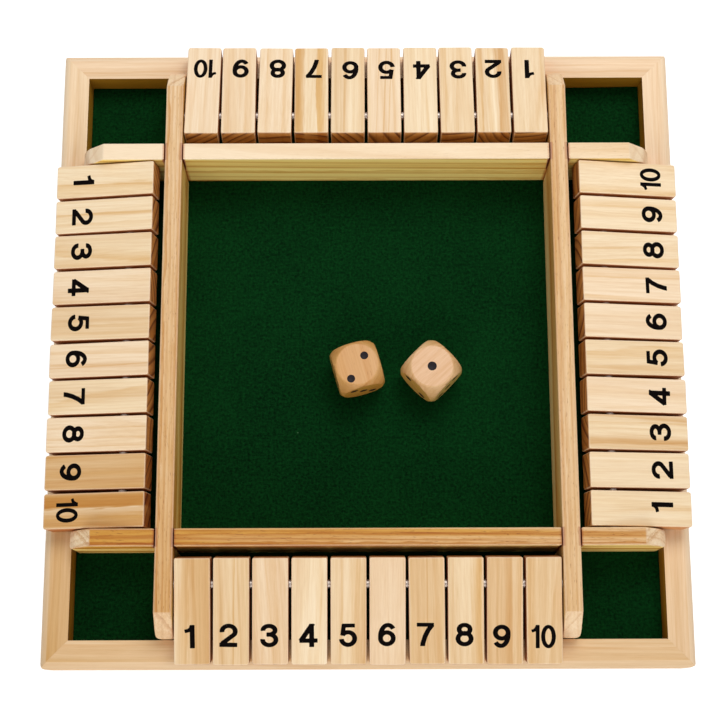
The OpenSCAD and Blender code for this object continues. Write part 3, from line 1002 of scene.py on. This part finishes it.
def makeTiles(t, n):
    master = makeTileMaster(t)
    digits = {str(k): makeDigit(str(k), n) for k in range(1, 11)}
    print("digits made")
    ink = makeInk(n)
    top = tileSize()[1].z
    for row, side in enumerate(sides):
        for number in range(1, 11):
            luck = random.Random(t["seed"] + row * t["rowSeeds"] + number)
            yaw = turnBy(luck.uniform(-1, 1) * t["yaw"], "Z")
            sizes = [1 - luck.uniform(0, t["sizePlay"]), 1 - luck.uniform(0, t["sizePlay"])]
            play = Matrix.Diagonal(sizes + [1, 1])
            place = tilePlace(side, number) @ yaw
            tile = copyOf(master, f"pine_tile_{side}_{number}")
            addGrain(tile, 1, tileLook(side, number, luck, t), luck, tileMarks)
            tile.data.transform(place @ play)
            body = f"tile_{side}_{number}"
            dress(tile, woods["tilePine"], body, body)
            mark = copyOf(digits[str(number)], f"number_{side}_{number}")
            across, inwards = Vector(n["places"][side]) + Vector(n["nudges"][side][number - 1])
            across += luck.uniform(-n["printOff"], n["printOff"])
            shift = Matrix.Translation((across * mm, inwards * mm, top))
            mark.data.transform(place @ shift @ turnBy(luck.uniform(-1, 1) * n["printTurn"], "Z"))
            dress(mark, ink, body)
    for piece in (master, *digits.values()):
        bpy.data.objects.remove(piece)


makeTiles(tiles, numbers)
print("tiles made")

dice = {
    "wide": 16, "cornerCut": 3.2, "blendAngle": 50, "ballSteps": (80, 40), "pipSteps": (40, 24),
    "pip": 2.8, "singlePip": 3.2, "pipDepth": 0.35, "pipStep": 3.3,
    "roundPaintedShade": 0.35, "roundFrom": 0.42, "sidePaintedShade": 1,
    "paint": (16, 9, 13), "paintWorn": (32, 23, 28), "brush": 1500, "paintNear": 0.03,
    "die_a": {"turn": 16, "top": 2, "front": 3, "right": 1, "frontQuarters": 1, "topOff": (-0.1, -1),
              "along": 1, "tone": 0.98, "rosy": 0.1, "contrast": 0.5, "ring": 2.4, "pith": 26,
              "angle": 30, "slope": 0.03},
    "die_b": {"turn": 45, "top": 1, "front": 3, "right": 5, "frontQuarters": 0, "topOff": (0, 0),
              "along": 0, "tone": 0.46, "rosy": 0.5, "contrast": 0.35, "ring": 1.8, "pith": 30,
              "angle": 40, "slope": 0.06},
}
pipPlaces = {
    1: [(0, 0)],
    2: [(-1, -1), (1, 1)],
    3: [(-1, -1), (0, 0), (1, 1)],
    4: [(-1, -1), (-1, 1), (1, -1), (1, 1)],
    5: [(-1, -1), (-1, 1), (0, 0), (1, -1), (1, 1)],
    6: [(-1, -1), (-1, 0), (-1, 1), (1, -1), (1, 0), (1, 1)],
}


def makePipPaint(d):
    material, tree, shader = newMaterial("pipPaint")
    brushed = cloud(tree, ownPlace(tree), d["brush"])[0]
    setUp(tree, shader, {
        "Base Color": blendColor(tree, brushed, tint(d["paint"]), tint(d["paintWorn"])),
        "Roughness": span(tree, brushed, 0.3, 0.7, 0.5, 0.65), "Specular IOR Level": 0.2,
    })
    return material


def pipSpots(d, facts):
    # centre and radius of the ball that sinks each pip
    spots = []
    faces = {(0, "X"): facts["top"], (180, "X"): 7 - facts["top"],
             (90, "X"): facts["front"], (-90, "X"): 7 - facts["front"],
             (90, "Y"): facts["right"], (-90, "Y"): 7 - facts["right"]}
    for (angle, axis), number in faces.items():
        half = (d["singlePip"] if number == 1 else d["pip"]) / 2
        ball = (half * half + d["pipDepth"] ** 2) / (2 * d["pipDepth"])
        turn = turnBy(angle, axis, 3)
        if (angle, axis) == (90, "X"):
            turn = turn @ turnBy(90 * facts["frontQuarters"], "Z", 3)
        offX, offY = facts["topOff"] if angle == 0 else (0, 0)
        height = d["wide"] / 2 + ball - d["pipDepth"]
        for x, y in pipPlaces[number]:
            centre = Vector((x * d["pipStep"] + offX, y * d["pipStep"] + offY, height))
            spots.append((turn @ centre * mm, ball * mm))
    return spots


def dieMarks(face):
    # painted shade, on the rounds partly a deeper tint of the wood: it grows as a face turns away from the
    # flat top and bottom, and covers the upright flats
    turned = 1 - max(abs(c) for c in face.normal)
    paintedShade = dice["roundPaintedShade"] * min(1, turned / dice["roundFrom"])
    return max(paintedShade, dice["sidePaintedShade"] * (1 - abs(face.normal.z)) ** 2), 0, 0


def makeDie(name, d, paint):
    facts = d[name]
    half = d["wide"] / 2 * mm
    ball = (d["wide"] * math.sqrt(3) / 2 - d["cornerCut"]) * mm
    die = addBall("wood_" + name, (0, 0, 0), ball, d["ballSteps"])
    for axis in range(3):
        for way in (-1, 1):
            normal = Vector()
            normal[axis] = way
            sliceOff(die, normal * half, normal)
    smoothOff(die, 0, angle=d["blendAngle"])
    spots = pipSpots(d, facts)
    for centre, radius in spots:
        cutWith(die, addBall("dimple", centre, radius, d["pipSteps"]))
    smoothOff(die, 0, angle=d["blendAngle"])
    low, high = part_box(name)
    addGrain(die, facts["along"], facts, random.Random(len(spots) + facts["turn"]), dieMarks)
    near = d["paintNear"] * mm
    painted = [any(abs((f.center - c).length - r) < near for c, r in spots) for f in die.data.polygons]
    turn = turnBy(facts["turn"], "Z")
    die.data.transform(Matrix.Translation((low + high) / 2) @ turn)
    dress(die, woods["dieWood"], name, name)
    die.data.materials.append(paint)
    for face, dark in zip(die.data.polygons, painted):
        face.material_index = 1 if dark else 0


pipPaint = makePipPaint(dice)
makeDie("die_a", dice, pipPaint)
makeDie("die_b", dice, pipPaint)
print("dice made")

studio = {
    "floorSize": 6, "floorDrop": 0.1, "floorShade": 0.6, "floorGlow": 0.72, "sky": 0.42,
    "key": {"place": (0.2, 0.56, 0.94), "size": 0.6, "power": 6.4},
    "fill": {"place": (-0.1, -1.08, 0.40), "size": 0.9, "power": 7},
}


def seenDirectly(tree):
    # 1 for camera, mirror and glass rays
    ray = addNode(tree, "ShaderNodeLightPath", {})
    seen = calc(tree, "ADD", ray["Is Camera Ray"], ray["Is Glossy Ray"])
    return calc(tree, "ADD", seen, ray["Is Transmission Ray"], clamp=True)


def addLamp(name, d):
    bpy.ops.object.light_add(type="AREA", location=d["place"])
    lamp = bpy.context.object
    lamp.name = name
    lamp.data.size = d["size"]
    lamp.data.energy = d["power"]
    lamp.rotation_euler = (-Vector(d["place"])).to_track_quat("-Z", "Y").to_euler()


def makeStudio(s):
    world = bpy.data.worlds.new("studio")
    bpy.context.scene.world = world
    world.use_nodes = True
    tree = world.node_tree
    level = calc(tree, "MULTIPLY_ADD", seenDirectly(tree), 1 - s["sky"], s["sky"])
    setUp(tree, tree.nodes["Background"], {"Color": (1, 1, 1, 1), "Strength": level})
    for name in ("key", "fill"):
        addLamp(name, s[name])

    bpy.ops.mesh.primitive_plane_add(size=s["floorSize"], location=(0, 0, -s["floorDrop"] * mm))
    floor = takeNew("floor")
    material, tree, shader = newMaterial("paleFloor")
    setUp(tree, shader, {
        "Base Color": [s["floorShade"]] * 3 + [1], "Roughness": 0.9, "Specular IOR Level": 0.1,
        "Emission Color": (1, 1, 1, 1), "Emission Strength": times(tree, seenDirectly(tree), s["floorGlow"]),
    })
    floor.data.materials.append(material)


makeStudio(studio)
print("studio made")
